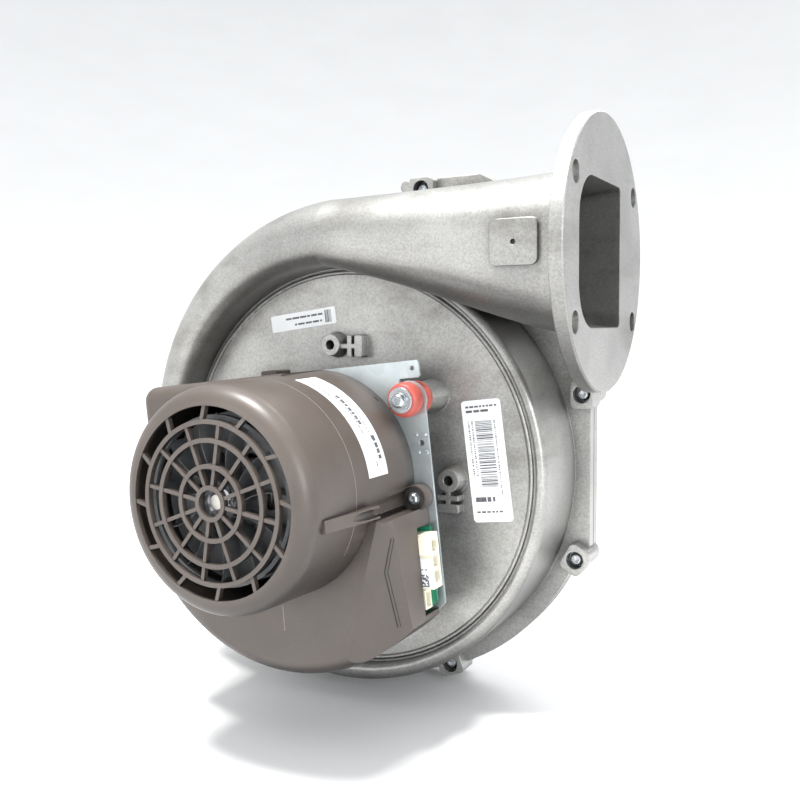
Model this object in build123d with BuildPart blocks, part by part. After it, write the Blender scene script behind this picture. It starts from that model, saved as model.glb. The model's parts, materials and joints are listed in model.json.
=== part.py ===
"""Combustion fan of a condensing boiler: a die-cast radial blower with its motor on a sprung carrier.

Frame: origin at the centre of the rear inlet face, +Y out of the inlet, -Y towards the motor,
+X out of the outlet flange, +Z up. Millimetres.
"""
import os
from math import cos, radians, sin, sqrt, tan

from build123d import *

# ---- housing ---------------------------------------------------------------
plate_front = -84.0        # Y of the casting's flat front plate
wall = 4.0                 # casting wall
plate_radius = 110.5       # inside of the bead around the flat plate
bead_width = 2.5
tube_inner = 114.5         # where the scroll's tube rises from the plate, past a narrow groove
tongue_angle = 60.0        # where the scroll starts, counted from +X towards +Z
scroll_sweep = 330.0       # clockwise, seen from the motor
scroll_start = 119.5
scroll_end = 151.3
bulge_start = 1.5          # how far the tube stands in front of the plate
bulge_end = 34.0
scroll_growth = 2.2
section_step = 30.0

parting = plate_front + 54.0
gasket_thickness = 1.0
flange_rim = 10.5          # parting flange outside the scroll
lug_offset = 8.0           # screw lugs outside the scroll
flange_thickness = 6.0
rim_right = 129.0          # the straight right side of the parting flange
lug_height = 14.0
lug_recess = 6.0
housing_screw_radius = 2.5

outlet_x = 148.0
outlet_y = plate_front + 10.0
outlet_z = 116.0
outlet_radius = 70.0
outlet_thickness = 7.2
outlet_hole_radius = 5.5
outlet_hole_y = 104.0
outlet_hole_z = 68.0
duct_front = plate_front - 37.0
duct_back = plate_front + 35.0
duct_low = 79.0
duct_high = 152.0

inlet_radius = 40.0
collar_radius = 66.0
inlet_screw_circle = 52.0
inlet_screw_count = 4
rear_wall = 6.5

boss_height = 8.5
boss_radius = 6.15
boss_hole_radius = 2.75
boss_taper = 8.0
post_circle = 70.0
motor_turn = 6.0           # the motor sits a little turned, counter-clockwise from the front
post_angles = (32.0, 152.0, 272.0)

# ---- carrier and motor -----------------------------------------------------
grommet_centre = plate_front - 28.0
grommet_length = 21.0
grommet_radius = 9.3
grommet_neck = 6.0
sleeve_radius = 4.0
carrier_thickness = 1.5
carrier_front = grommet_centre - carrier_thickness / 2
carrier_top = 57.0
carrier_left = -80.0
carrier_right = 68.0
carrier_radius = 97.8

shaft_radius = 4.0
shaft_front = plate_front - 119.0
shaft_back = plate_front + 31.0
fit_gap = 0.03             # pressed pieces touch without overlapping

impeller_radius = 87.5
impeller_eye = 46.0
impeller_front = plate_front + 8.5
impeller_tip_back = plate_front + 36.0
impeller_eye_back = plate_front + 50.0
sheet = 1.5
blade_count = 9

bearing_outer = 11.0
bearing_width = 7.0
ball_circle = 7.5
ball_radius = 1.85
groove_radius = 2.1
ball_count = 7
rear_bearing = plate_front - 36.5          # Y of each bearing's middle
front_bearing = plate_front - 96.5

stator_front = plate_front - 80.0
stator_back = plate_front - 50.0
stator_radius = 40.0
stator_bore = 20.5
slot_count = 9
yoke_inner = 32.0
tooth_width = 5.5
bracket_radius = 42.0
bolt_circle = 36.0
bolt_count = 4
magnet_count = 6

board_back = carrier_front - 3.2
board_thickness = 1.6
board_front = board_back - board_thickness

# ---- cover -----------------------------------------------------------------
cover_front = plate_front - 124.0
cover_wall = 2.5
cover_radius = 55.0        # at the shoulder; the side is drafted
cover_base_radius = 57.5
cover_shoulder = 9.0
cover_opening = 45.7
lobe_front = plate_front - 72.0
lobe_radius = 99.0
lobe_left = -86.0
lobe_right = 64.0
lobe_step = -19.0
facet_point = (57.7, -18.7)        # a point of the slanted facet's front edge, in the motor's frame
facet_normal = (0.429, -0.889, -0.158)
cover_lug = (60.5, -13.8)
ring_radii = (7.5, 17.5, 29.6, 38.3)
spoke_count = 12

os.makedirs("parts", exist_ok=True)


def front_plane(y):
    """A sketch plane at Y = y that faces the motor side; extrude goes towards -Y."""
    return Plane.XZ.offset(-y)


def motor_plane(y):
    """The same plane, turned with the motor."""
    sideways = (cos(radians(motor_turn)), 0, sin(radians(motor_turn)))
    return Plane(origin=(0, y, 0), x_dir=sideways, z_dir=(0, -1, 0))


def polar(radius, angle):
    """A point in a front plane."""
    return (radius * cos(radians(angle)), radius * sin(radians(angle)))


def turned_plane():
    """The plane that holds the motor axis and the motor's own sideways direction."""
    return radial_plane(motor_turn)


def save(builder, name):
    """Label one finished piece and write its STEP file."""
    builder.part.label = name
    export_step(builder.part, f"parts/{name}.step")


# ---- scroll laws -----------------------------------------------------------
def swept_share(angle):
    """How much of the scroll's growth is reached at an angle."""
    return ((tongue_angle - angle) / scroll_sweep) ** scroll_growth


def scroll_radius(angle):
    return scroll_start + (scroll_end - scroll_start) * swept_share(angle)


def bulge(angle):
    return bulge_start + (bulge_end - bulge_start) * swept_share(angle)


def radial_plane(angle):
    """A plane through the motor axis: local x is the radius, local y is Y."""
    c = cos(radians(angle))
    s = sin(radians(angle))
    return Plane(origin=(0, 0, 0), x_dir=(c, 0, s), z_dir=(-s, 0, c))


scroll_angles = [tongue_angle - section_step * i for i in range(int(scroll_sweep / section_step) + 1)]
top_angle = tongue_angle - scroll_sweep


def tube_corners(rise):
    """Outer and inner front corner radii of the tube for a given bulge."""
    return (2.5 + 0.62 * rise, 0.5 + 0.35 * rise)


top_rise = bulge(top_angle)
# One neck section each: X, low Z, high Z, front Y, back Y, then top-front, low-front and back corner radii.
neck_sections = (
    (0.0, tube_inner, scroll_end, plate_front - top_rise, parting, 23.5, 12.4, 1.0),
    (35.0, 106.0, 151.7, plate_front - 36.0, parting, 24.0, 15.0, 1.0),
    (70.0, 95.5, 152.3, plate_front - 38.5, parting, 25.0, 20.0, 2.0),
    (105.0, 84.0, 153.4, plate_front - 40.5, parting - 6.0, 26.0, 25.0, 6.0),
    (outlet_x, duct_low - wall, duct_high + wall, duct_front - wall, duct_back + wall, 26.0, 26.0, 8.0),
)


# ---- sections and outlines -------------------------------------------------
def tube_section(angle):
    """Outside of the scroll tube in a radial plane."""
    outer = scroll_radius(angle)
    outer_corner, inner_corner = tube_corners(bulge(angle))
    front = plate_front - bulge(angle)
    with BuildSketch(radial_plane(angle)) as section:
        with BuildLine():
            Line((tube_inner, parting), (outer, parting))
            Line((outer, parting), (outer, front + outer_corner))
            RadiusArc((outer, front + outer_corner), (outer - outer_corner, front), outer_corner)
            Line((outer - outer_corner, front), (tube_inner + inner_corner, front))
            RadiusArc((tube_inner + inner_corner, front), (tube_inner, front + inner_corner), inner_corner)
            Line((tube_inner, front + inner_corner), (tube_inner, parting))
        make_face()
    return section.sketch


def cavity_section(angle):
    """The air space inside the same section: it opens to the impeller behind the plate."""
    outer_corner, inner_corner = tube_corners(bulge(angle))
    outer_corner = max(0.7, outer_corner - wall)
    inner_corner = max(0.5, inner_corner - wall)
    high = scroll_radius(angle) - wall
    low = min(tube_inner + wall, high - outer_corner - inner_corner - 0.3)
    front = plate_front - bulge(angle) + wall
    back = parting + 2.0
    step = plate_front + wall
    with BuildSketch(radial_plane(angle)) as section:
        with BuildLine():
            Line((tube_inner - 1.0, back), (high, back))
            Line((high, back), (high, front + outer_corner))
            RadiusArc((high, front + outer_corner), (high - outer_corner, front), outer_corner)
            Line((high - outer_corner, front), (low + inner_corner, front))
            RadiusArc((low + inner_corner, front), (low, front + inner_corner), inner_corner)
            Line((low, front + inner_corner), (low, step))
            Line((low, step), (tube_inner - 1.0, step))
            Line((tube_inner - 1.0, step), (tube_inner - 1.0, back))
        make_face()
    return section.sketch


def neck_section(x, low, high, front, back, top_front, low_front, back_corner):
    """A rounded rectangle across the neck, with its own corner radii."""
    with BuildSketch(Plane.YZ.offset(x)) as section:
        with BuildLine():
            Line((front + low_front, low), (back - back_corner, low))
            RadiusArc((back - back_corner, low), (back, low + back_corner), -back_corner)
            Line((back, low + back_corner), (back, high - back_corner))
            RadiusArc((back, high - back_corner), (back - back_corner, high), -back_corner)
            Line((back - back_corner, high), (front + top_front, high))
            RadiusArc((front + top_front, high), (front, high - top_front), -top_front)
            Line((front, high - top_front), (front, low + low_front))
            RadiusArc((front, low + low_front), (front + low_front, low), -low_front)
        make_face()
    return section.sketch


# corners of the parting flange from the top of the scroll round to its straight right side
rim_corners = (
    (13, 160),
    (17, 168),
    (63, 168.5),
    (75, 162),
    (84, 148),
    (88, 104),
    (112, 72),
    (rim_right, 47),
    (rim_right, -44),
)
gasket_width = 12.0
gasket_corners = ((22, 154), (58, 154), (66, 150), (72, 142), (76, 100), (102, 66), (117, 43), (117, -40))


def parting_outline(y, rim, corners):
    """Outline of the two parting flanges, in a front plane: it follows the scroll, then the corners."""
    first = -25.0
    last = top_angle + 6.0
    steps = 12
    angles = [first + (last - first) * i / steps for i in range(steps + 1)]
    points = [polar(scroll_radius(angle) + rim, angle) for angle in angles]
    with BuildSketch(front_plane(y)) as outline:
        with BuildLine():
            Spline(*points)
            Polyline(points[-1], *corners, points[0])
        make_face()
    return outline.sketch


# ---- front housing ---------------------------------------------------------
lug_places = [
    ((126.0, 42.5), 0.0),
    ((122.5, -51.0), -30.0),
    ((28.0, 161.6), 90.0),
]
for lug_angle in (-70.0, -112.0, -155.0, -197.0, -236.0):
    lug_places.append((polar(scroll_radius(lug_angle) + lug_offset, lug_angle), lug_angle))
lug_spots = [spot for spot, angle in lug_places]
spare_boss_spots = (polar(71.0, 95.0), polar(67.5, -2.0))
clip_places = (((3.0, 70.0), 0.0), ((66.5, -9.5), -90.0))
clip_height = 6.8
small_boss_spot = (18.4, 163.2)    # beside the top screw lug
small_boss_radius = 3.6
pad_spot = (118.0, 120.0)
pad_width = 24.0
pad_height = 22.0
pad_front = 13.4
post_spots = [polar(post_circle, angle + motor_turn) for angle in post_angles]
outlet_hole_spots = [
    (outlet_y + side * outlet_hole_y / 2, outlet_z + end * outlet_hole_z / 2)
    for side in (-1, 1)
    for end in (-1, 1)
]


def neck_cavity(x, low, high, front, back, top_front, low_front, back_corner):
    """The air space of one neck section: open to the rear cover until the neck closes."""
    closed = x > 60.0
    return neck_section(
        x + 1.0 if x == outlet_x else x,
        low + wall,
        high - wall,
        front + wall,
        back - wall if closed else back + 2.0,
        top_front - wall,
        low_front - wall,
        max(1.0, back_corner - wall),
    )


with BuildPart() as front_housing:
    with BuildSketch(front_plane(plate_front + wall)):
        Circle(tube_inner + 1.4)
    extrude(amount=wall)
    loft(sections=[tube_section(angle) for angle in scroll_angles])
    loft(sections=[neck_section(*numbers) for numbers in neck_sections])
    extrude(parting_outline(parting, flange_rim, rim_corners), amount=flange_thickness)
    # screw lugs on the parting flange
    for spot, angle in lug_places:
        with BuildSketch(front_plane(parting)):
            with Locations(Location((*spot, 0), (0, 0, angle))):
                RectangleRounded(13.0, 16.0, 3.0)
        extrude(amount=lug_height)
    with BuildSketch(front_plane(parting)):
        with Locations(small_boss_spot):
            Circle(small_boss_radius)
    extrude(amount=lug_height)
    # outlet flange
    with BuildSketch(Plane.YZ.offset(outlet_x - outlet_thickness)):
        with Locations((outlet_y, outlet_z)):
            Circle(outlet_radius)
    extrude(amount=outlet_thickness)
    chamfer(front_housing.faces().sort_by(Axis.X)[-1].edges(), 0.8)
    # cast pad on the neck
    with BuildSketch(front_plane(plate_front - 30.0)):
        with Locations(pad_spot):
            RectangleRounded(pad_width, pad_height, 3.5)
    extrude(amount=pad_front)
    with Locations(front_plane(plate_front - 30.0 - pad_front)):
        with Locations(pad_spot):
            Hole(1.3, depth=2.5)
    # the air space, and the passage from the impeller to the neck
    with BuildSketch(front_plane(parting + 1.0)):
        Circle(tube_inner + 0.5)
        with Locations((27.0, 104.0)):
            Rectangle(60.0, 28.0)
    extrude(amount=parting + 1.0 - plate_front - wall, mode=Mode.SUBTRACT)
    loft(sections=[cavity_section(angle) for angle in scroll_angles], mode=Mode.SUBTRACT)
    loft(sections=[neck_cavity(*numbers) for numbers in neck_sections], mode=Mode.SUBTRACT)
    # bead around the flat plate
    with BuildSketch(Plane.YZ):
        with Locations((plate_front, plate_radius + bead_width / 2)):
            Circle(bead_width / 2)
    revolve(axis=Axis.Y)
    # motor posts, spare bosses and their clip ribs
    with BuildSketch(front_plane(plate_front)):
        with Locations(*post_spots):
            Circle(grommet_radius)
    extrude(amount=plate_front - grommet_centre - grommet_length / 2, taper=5)
    with BuildSketch(front_plane(plate_front)):
        with Locations(*spare_boss_spots):
            Circle(boss_radius + boss_height * tan(radians(boss_taper)))
    extrude(amount=boss_height, taper=boss_taper)
    for spot, angle in clip_places:
        with BuildSketch(front_plane(plate_front)):
            with Locations(Location((*spot, 0), (0, 0, angle))):
                Rectangle(14.0, 2.6)
                with Locations((2.5, 0.0)):
                    Rectangle(2.8, 12.0)
                with Locations((8.3, 0.0)):
                    RectangleRounded(4.8, 12.4, 1.0)
        extrude(amount=clip_height)
    # shaft hole, threaded holes, screw holes and outlet holes
    with Locations(front_plane(plate_front)):
        Hole(12.0)
    with Locations(front_plane(plate_front - boss_height)):
        with Locations(*spare_boss_spots):
            Hole(boss_hole_radius, depth=10.0)
    with Locations(front_plane(grommet_centre + grommet_length / 2)):
        with Locations(*post_spots):
            Hole(housing_screw_radius, depth=18.0)
    with Locations(front_plane(parting - lug_height)):
        with Locations(*lug_spots):
            CounterBoreHole(housing_screw_radius + 0.25, 4.9, lug_recess, depth=lug_height + 1.0)
    with BuildSketch(Plane.YZ.offset(outlet_x)):
        with Locations(*outlet_hole_spots):
            Circle(outlet_hole_radius)
    extrude(amount=-outlet_thickness - 1.0, mode=Mode.SUBTRACT)
save(front_housing, "front_housing")

# ---- rear housing, gasket and housing screws -------------------------------
rear_front = parting + gasket_thickness
rear_back = rear_front + rear_wall
nozzle_front = impeller_eye_back - 4.0
lug_back = rear_back + 6.0
collar_hole_depth = 15.0

with BuildPart() as rear_housing:
    extrude(parting_outline(rear_back, flange_rim, rim_corners), amount=rear_wall)
    with BuildSketch(front_plane(lug_back)):
        with Locations(*lug_spots):
            Circle(6.5)
    extrude(amount=lug_back - rear_front)
    # inlet collar: two walls with a pocket between them, open to the back
    with BuildSketch(front_plane(0.0)):
        Circle(collar_radius)
    extrude(amount=-rear_back)
    with BuildSketch(front_plane(0.0)):
        Circle(collar_radius - 5.0)
        Circle(inlet_radius + 5.0, mode=Mode.SUBTRACT)
        with PolarLocations(inlet_screw_circle, inlet_screw_count, start_angle=45.0):
            Circle(7.0, mode=Mode.SUBTRACT)
            Rectangle(20.0, 4.0, mode=Mode.SUBTRACT)
    extrude(amount=-rear_back - 1.0, mode=Mode.SUBTRACT)
    # stiffening ribs on the cover plate
    with BuildSketch(front_plane(rear_back + 8.0)):
        with PolarLocations(88.0, 12):
            Rectangle(48.0, 3.0)
    extrude(amount=8.0)
    # inlet nozzle that reaches into the impeller's eye
    with BuildSketch(front_plane(rear_front)):
        Circle(inlet_radius + 3.0)
    extrude(amount=rear_front - nozzle_front)
    with BuildSketch(front_plane(0.0)):
        Circle(inlet_radius)
    extrude(amount=-nozzle_front, mode=Mode.SUBTRACT)
    with Locations(Plane.XZ.rotated((180, 0, 0))):
        with PolarLocations(inlet_screw_circle, inlet_screw_count, start_angle=45.0):
            Hole(housing_screw_radius, depth=collar_hole_depth)
    with Locations(front_plane(rear_front)):
        with Locations(*lug_spots):
            Hole(housing_screw_radius, depth=11.0)
save(rear_housing, "rear_housing")

with BuildPart() as housing_gasket:
    extrude(parting_outline(rear_front, flange_rim, rim_corners), amount=gasket_thickness)
    with BuildSketch(front_plane(rear_front)):
        with Locations(*lug_spots):
            Circle(6.4)
    extrude(amount=gasket_thickness)
    gasket_inside = parting_outline(rear_front, flange_rim - gasket_width, gasket_corners)
    extrude(gasket_inside, amount=2 * gasket_thickness, both=True, mode=Mode.SUBTRACT)
    with BuildSketch(front_plane(rear_front + gasket_thickness)):
        with Locations(*lug_spots):
            Circle(3.2)
    extrude(amount=3 * gasket_thickness, mode=Mode.SUBTRACT)
save(housing_gasket, "housing_gasket")


def screw_group(plane, spots, radius, length, head_radius, head_height, drive_radius):
    """Pan-head screws whose heads stand in front of a plane."""
    with BuildPart() as group:
        with BuildSketch(plane):
            with Locations(*spots):
                Circle(radius)
        extrude(amount=-length)
        with BuildSketch(plane):
            with Locations(*spots):
                Circle(head_radius)
        extrude(amount=head_height)
        chamfer(group.faces().group_by(Axis.Y)[0].edges(), head_height * 0.25)
        with BuildSketch(plane.offset(head_height)):
            with Locations(*spots):
                RegularPolygon(drive_radius, 6)
        extrude(amount=-head_height * 0.6, mode=Mode.SUBTRACT)
    return group


housing_screw_plane = front_plane(parting - lug_height + lug_recess)
housing_screw_shank = housing_screw_radius - fit_gap
housing_screws = screw_group(housing_screw_plane, lug_spots, housing_screw_shank, 19.0, 4.6, 3.6, 2.3)
save(housing_screws, "housing_screws")

with BuildPart() as shaft_seal:
    with BuildSketch(front_plane(plate_front + wall)):
        Circle(12.0 - fit_gap)
        Circle(shaft_radius + 0.4, mode=Mode.SUBTRACT)
    extrude(amount=wall)
    with BuildSketch(front_plane(plate_front)):
        Circle(17.0)
        Circle(shaft_radius + 0.4, mode=Mode.SUBTRACT)
    extrude(amount=1.5)
save(shaft_seal, "shaft_seal")

# ---- motor carrier and its rubber mounts -----------------------------------
motor_spots = [polar(post_circle, angle) for angle in post_angles]
rivet_spots = [polar(30.0, angle) for angle in (90, 210, 330)]
dimple_spots = ((61.0, 18.5), (66.0, 18.3), (61.4, 9.0), (66.3, 8.8))

with BuildPart() as motor_carrier:
    with BuildSketch(motor_plane(grommet_centre + carrier_thickness / 2)):
        with BuildLine():
            low_right = (carrier_right, -sqrt(carrier_radius**2 - carrier_right**2))
            low_left = (carrier_left, -sqrt(carrier_radius**2 - carrier_left**2))
            Polyline(
                low_left,
                (carrier_left, carrier_top),
                (54.3, carrier_top),
                (54.3, 35.0),
                (carrier_right, 35.0),
                low_right,
            )
            RadiusArc(low_right, low_left, carrier_radius)
        make_face()
        with Locations(motor_spots[0]):
            Circle(grommet_radius + 0.3)
        with Locations((58.0, 52.5)):
            RectangleRounded(17.0, 9.0, 1.5)
        with Locations(*motor_spots):
            Circle(grommet_neck + fit_gap, mode=Mode.SUBTRACT)
        Circle(13.0, mode=Mode.SUBTRACT)
        with Locations((62.5, 53.0)):
            Circle(1.3, mode=Mode.SUBTRACT)
        with Locations((63.8, 13.8), *rivet_spots):
            Circle(1.6, mode=Mode.SUBTRACT)
        with Locations(cover_lug):
            Circle(1.9, mode=Mode.SUBTRACT)
    extrude(amount=carrier_thickness)
    with BuildSketch(motor_plane(carrier_front)):
        with Locations(*dimple_spots):
            Circle(1.2)
    extrude(amount=0.8, taper=25)
save(motor_carrier, "motor_carrier")

with BuildPart() as rubber_grommets:
    with BuildSketch(motor_plane(grommet_centre + grommet_length / 2)):
        with Locations(*motor_spots):
            Circle(grommet_radius)
            Circle(sleeve_radius + fit_gap, mode=Mode.SUBTRACT)
    extrude(amount=grommet_length)
    with BuildSketch(motor_plane(grommet_centre + carrier_thickness / 2)):
        with Locations(*motor_spots):
            Circle(grommet_radius + 1.0)
            Circle(grommet_neck, mode=Mode.SUBTRACT)
    extrude(amount=carrier_thickness, mode=Mode.SUBTRACT)
save(rubber_grommets, "rubber_grommets")

with BuildPart() as grommet_sleeves:
    with BuildSketch(motor_plane(grommet_centre + grommet_length / 2)):
        with Locations(*motor_spots):
            Circle(sleeve_radius)
            Circle(housing_screw_radius + 0.2, mode=Mode.SUBTRACT)
    extrude(amount=grommet_length)
save(grommet_sleeves, "grommet_sleeves")

grommet_front = grommet_centre - grommet_length / 2
washer_thickness = 1.2
with BuildPart() as carrier_washers:
    with BuildSketch(motor_plane(grommet_front)):
        with Locations(*motor_spots):
            Circle(6.8)
            Circle(housing_screw_radius + 0.2, mode=Mode.SUBTRACT)
    extrude(amount=washer_thickness)
save(carrier_washers, "carrier_washers")

washer_front = grommet_front - washer_thickness
carrier_screw_radius = housing_screw_radius - fit_gap
carrier_screw_plane = motor_plane(washer_front)
carrier_screws = screw_group(carrier_screw_plane, motor_spots, carrier_screw_radius, 31.0, 4.6, 3.8, 2.2)
save(carrier_screws, "carrier_screws")

# ---- motor end shields -----------------------------------------------------
shield_wall = 4.0
seat_radius = 15.0
with BuildPart() as rear_shield:
    with BuildSketch(motor_plane(carrier_front)):
        Circle(bracket_radius)
        Circle(9.0, mode=Mode.SUBTRACT)
    extrude(amount=3.2)
    with BuildSketch(motor_plane(carrier_front)):
        Circle(bracket_radius)
        Circle(bracket_radius - shield_wall, mode=Mode.SUBTRACT)
        with PolarLocations(bolt_circle, bolt_count, start_angle=45.0):
            Circle(4.0)
    extrude(amount=carrier_front - stator_back)
    with BuildSketch(motor_plane(carrier_front)):
        Circle(seat_radius)
        Circle(9.0, mode=Mode.SUBTRACT)
    extrude(amount=carrier_front - rear_bearing + bearing_width / 2)
    with BuildSketch(motor_plane(rear_bearing - bearing_width / 2)):
        Circle(bearing_outer + fit_gap)
    extrude(amount=-bearing_width, mode=Mode.SUBTRACT)
    with Locations(motor_plane(stator_back)):
        with PolarLocations(bolt_circle, bolt_count, start_angle=45.0):
            Hole(2.0, depth=14.0)
    with Locations(motor_plane(carrier_front - 3.2)):
        with Locations(*rivet_spots):
            Hole(1.6)
save(rear_shield, "rear_shield")

shield_front = front_bearing + 3.5
with BuildPart() as front_shield:
    with BuildSketch(motor_plane(stator_front)):
        Circle(bracket_radius)
        Circle(bracket_radius - shield_wall, mode=Mode.SUBTRACT)
        with PolarLocations(bolt_circle, bolt_count, start_angle=45.0):
            Circle(4.0)
    extrude(amount=stator_front - shield_front + 3.5)
    with BuildSketch(motor_plane(shield_front)):
        Circle(bracket_radius - shield_wall + 1.0)
        with PolarLocations(26.0, bolt_count):
            RectangleRounded(17.0, 24.0, 4.0, mode=Mode.SUBTRACT)
        Circle(8.0, mode=Mode.SUBTRACT)
    extrude(amount=3.5)
    with BuildSketch(motor_plane(shield_front)):
        Circle(seat_radius)
        Circle(8.0, mode=Mode.SUBTRACT)
    extrude(amount=shield_front - front_bearing + bearing_width / 2)
    with BuildSketch(motor_plane(front_bearing - bearing_width / 2)):
        Circle(bearing_outer + fit_gap)
    extrude(amount=-bearing_width, mode=Mode.SUBTRACT)
    with Locations(motor_plane(shield_front - 3.5)):
        with PolarLocations(bolt_circle, bolt_count, start_angle=45.0):
            Hole(2.05, depth=30.0)
save(front_shield, "front_shield")

bolt_spots = [polar(bolt_circle, 45.0 + 90.0 * i) for i in range(bolt_count)]
bolt_head_back = shield_front - 3.5
motor_bolts = screw_group(
    motor_plane(bolt_head_back), bolt_spots, 1.95, stator_back + 13.0 - bolt_head_back, 3.5, 2.6, 1.8
)
save(motor_bolts, "motor_bolts")

with BuildPart() as carrier_rivets:
    with BuildSketch(motor_plane(carrier_front + carrier_thickness)):
        with Locations(*rivet_spots):
            Circle(1.55)
    extrude(amount=carrier_thickness + 2.0)
    with BuildSketch(motor_plane(carrier_front + carrier_thickness + 1.2)):
        with Locations(*rivet_spots):
            Circle(3.0)
    extrude(amount=1.2)
save(carrier_rivets, "carrier_rivets")

# ---- stator ----------------------------------------------------------------
tooth_angles = [i * 360.0 / slot_count for i in range(slot_count)]
stack = stator_back - stator_front

with BuildPart() as stator_core:
    with BuildSketch(motor_plane(stator_back)):
        Circle(stator_radius)
        Circle(yoke_inner, mode=Mode.SUBTRACT)
        with PolarLocations(27.5, slot_count):
            Rectangle(11.0, tooth_width)
        Circle(23.5)
        Circle(stator_bore, mode=Mode.SUBTRACT)
        with PolarLocations(22.0, slot_count, start_angle=180.0 / slot_count):
            Rectangle(6.0, 2.6, mode=Mode.SUBTRACT)
        with PolarLocations(bolt_circle, bolt_count, start_angle=45.0):
            Circle(2.1, mode=Mode.SUBTRACT)
    extrude(amount=stack)
save(stator_core, "stator_core")


def tooth_plane(angle, radius):
    """A plane across one stator tooth: local x runs round the motor, local y along it."""
    c = cos(radians(angle + motor_turn))
    s = sin(radians(angle + motor_turn))
    middle = (stator_front + stator_back) / 2
    return Plane(origin=(radius * c, middle, radius * s), x_dir=(s, 0, -c), z_dir=(c, 0, s))


def tooth_sleeves(start, depth, outside, inside):
    """One rectangular sleeve around every stator tooth."""
    with BuildPart() as sleeves:
        for angle in tooth_angles:
            with BuildSketch(tooth_plane(angle, start)):
                RectangleRounded(*outside, 0.6)
                Rectangle(*inside, mode=Mode.SUBTRACT)
            extrude(amount=depth)
    return sleeves


stator_insulators = tooth_sleeves(24.2, 7.4, (6.9, stack + 1.6), (tooth_width + 0.1, stack + 0.1))
save(stator_insulators, "stator_insulators")
stator_windings = tooth_sleeves(24.6, 6.6, (13.0, stack + 8.0), (7.0, stack + 1.8))
save(stator_windings, "stator_windings")

# ---- rotor -----------------------------------------------------------------
with BuildPart() as rotor_shaft:
    with BuildSketch(front_plane(shaft_back)):
        Circle(shaft_radius)
    extrude(amount=shaft_back - shaft_front)
    chamfer(rotor_shaft.edges().filter_by(GeomType.CIRCLE), 0.5)
save(rotor_shaft, "rotor_shaft")

with BuildPart() as rotor_core:
    with BuildSketch(front_plane(stator_back - 1.0)):
        Circle(15.0)
        Circle(shaft_radius + fit_gap, mode=Mode.SUBTRACT)
    extrude(amount=stack - 2.0)
save(rotor_core, "rotor_core")

with BuildPart() as rotor_magnets:
    with BuildSketch(front_plane(stator_back - 1.0)):
        Circle(19.3)
        Circle(15.0 + fit_gap, mode=Mode.SUBTRACT)
        with PolarLocations(17.0, magnet_count):
            Rectangle(8.0, 1.2, mode=Mode.SUBTRACT)
    extrude(amount=stack - 2.0)
save(rotor_magnets, "rotor_magnets")

hub_radius = 10.0
with BuildPart() as impeller_hub:
    with BuildSketch(front_plane(plate_front + 24.0)):
        Circle(hub_radius)
    extrude(amount=18.0)
    with BuildSketch(front_plane(impeller_front + sheet + 3.0)):
        Circle(20.0)
    extrude(amount=3.0)
    with Locations(front_plane(plate_front)):
        Hole(shaft_radius + fit_gap, depth=40.0)
save(impeller_hub, "impeller_hub")

with BuildPart() as impeller_backplate:
    with BuildSketch(front_plane(impeller_front + sheet)):
        Circle(impeller_radius)
        Circle(hub_radius + fit_gap, mode=Mode.SUBTRACT)
    extrude(amount=sheet)
save(impeller_backplate, "impeller_backplate")


def shroud_profile(thickness):
    """Half section of the impeller's front sheet, from the eye to the rim, in the XY plane."""
    outer_eye = impeller_eye + thickness
    with BuildSketch(Plane.XY) as profile:
        with BuildLine():
            Line((impeller_eye, impeller_eye_back), (impeller_eye, impeller_eye_back - 4.0))
            Line((impeller_eye, impeller_eye_back - 4.0), (impeller_radius, impeller_tip_back - sheet))
            Line((impeller_radius, impeller_tip_back - sheet), (impeller_radius, impeller_tip_back))
            Line((impeller_radius, impeller_tip_back), (outer_eye, impeller_eye_back - 3.0))
            Line((outer_eye, impeller_eye_back - 3.0), (outer_eye, impeller_eye_back))
            Line((outer_eye, impeller_eye_back), (impeller_eye, impeller_eye_back))
        make_face()
    return profile.sketch


with BuildPart() as impeller_shroud:
    revolve(shroud_profile(sheet), axis=Axis.Y)
save(impeller_shroud, "impeller_shroud")

blade_inner = 49.0
blade_lag = 38.0
with BuildPart() as impeller_blades:
    with BuildSketch(front_plane(impeller_eye_back)):
        for i in range(blade_count):
            root = i * 360.0 / blade_count
            with BuildLine():
                RadiusArc(polar(blade_inner, root), polar(impeller_radius - 0.6, root + blade_lag), 75.0)
                RadiusArc(polar(blade_inner, root), polar(impeller_radius - 0.6, root + blade_lag), 71.0)
            make_face()
    extrude(amount=impeller_eye_back - impeller_front - sheet)
    # cut back to the inside of the front sheet
    with BuildSketch(Plane.XY):
        with BuildLine():
            Polyline(
                (0, impeller_front),
                (impeller_radius, impeller_front),
                (impeller_radius, impeller_tip_back - sheet - 0.05),
                (impeller_eye, impeller_eye_back - 4.05),
                (0, impeller_eye_back - 4.05),
                close=True,
            )
        make_face()
    revolve(axis=Axis.Y, mode=Mode.INTERSECT)
save(impeller_blades, "impeller_blades")

nut_back = plate_front + 24.0
with BuildPart() as impeller_washer:
    with BuildSketch(front_plane(nut_back + 1.2)):
        Circle(9.0)
        Circle(shaft_radius + fit_gap, mode=Mode.SUBTRACT)
    extrude(amount=1.2)
save(impeller_washer, "impeller_washer")

with BuildPart() as impeller_nut:
    with BuildSketch(front_plane(nut_back + 7.0)):
        RegularPolygon(7.5, 6)
        Circle(shaft_radius + fit_gap, mode=Mode.SUBTRACT)
    extrude(amount=5.8)
save(impeller_nut, "impeller_nut")

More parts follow.
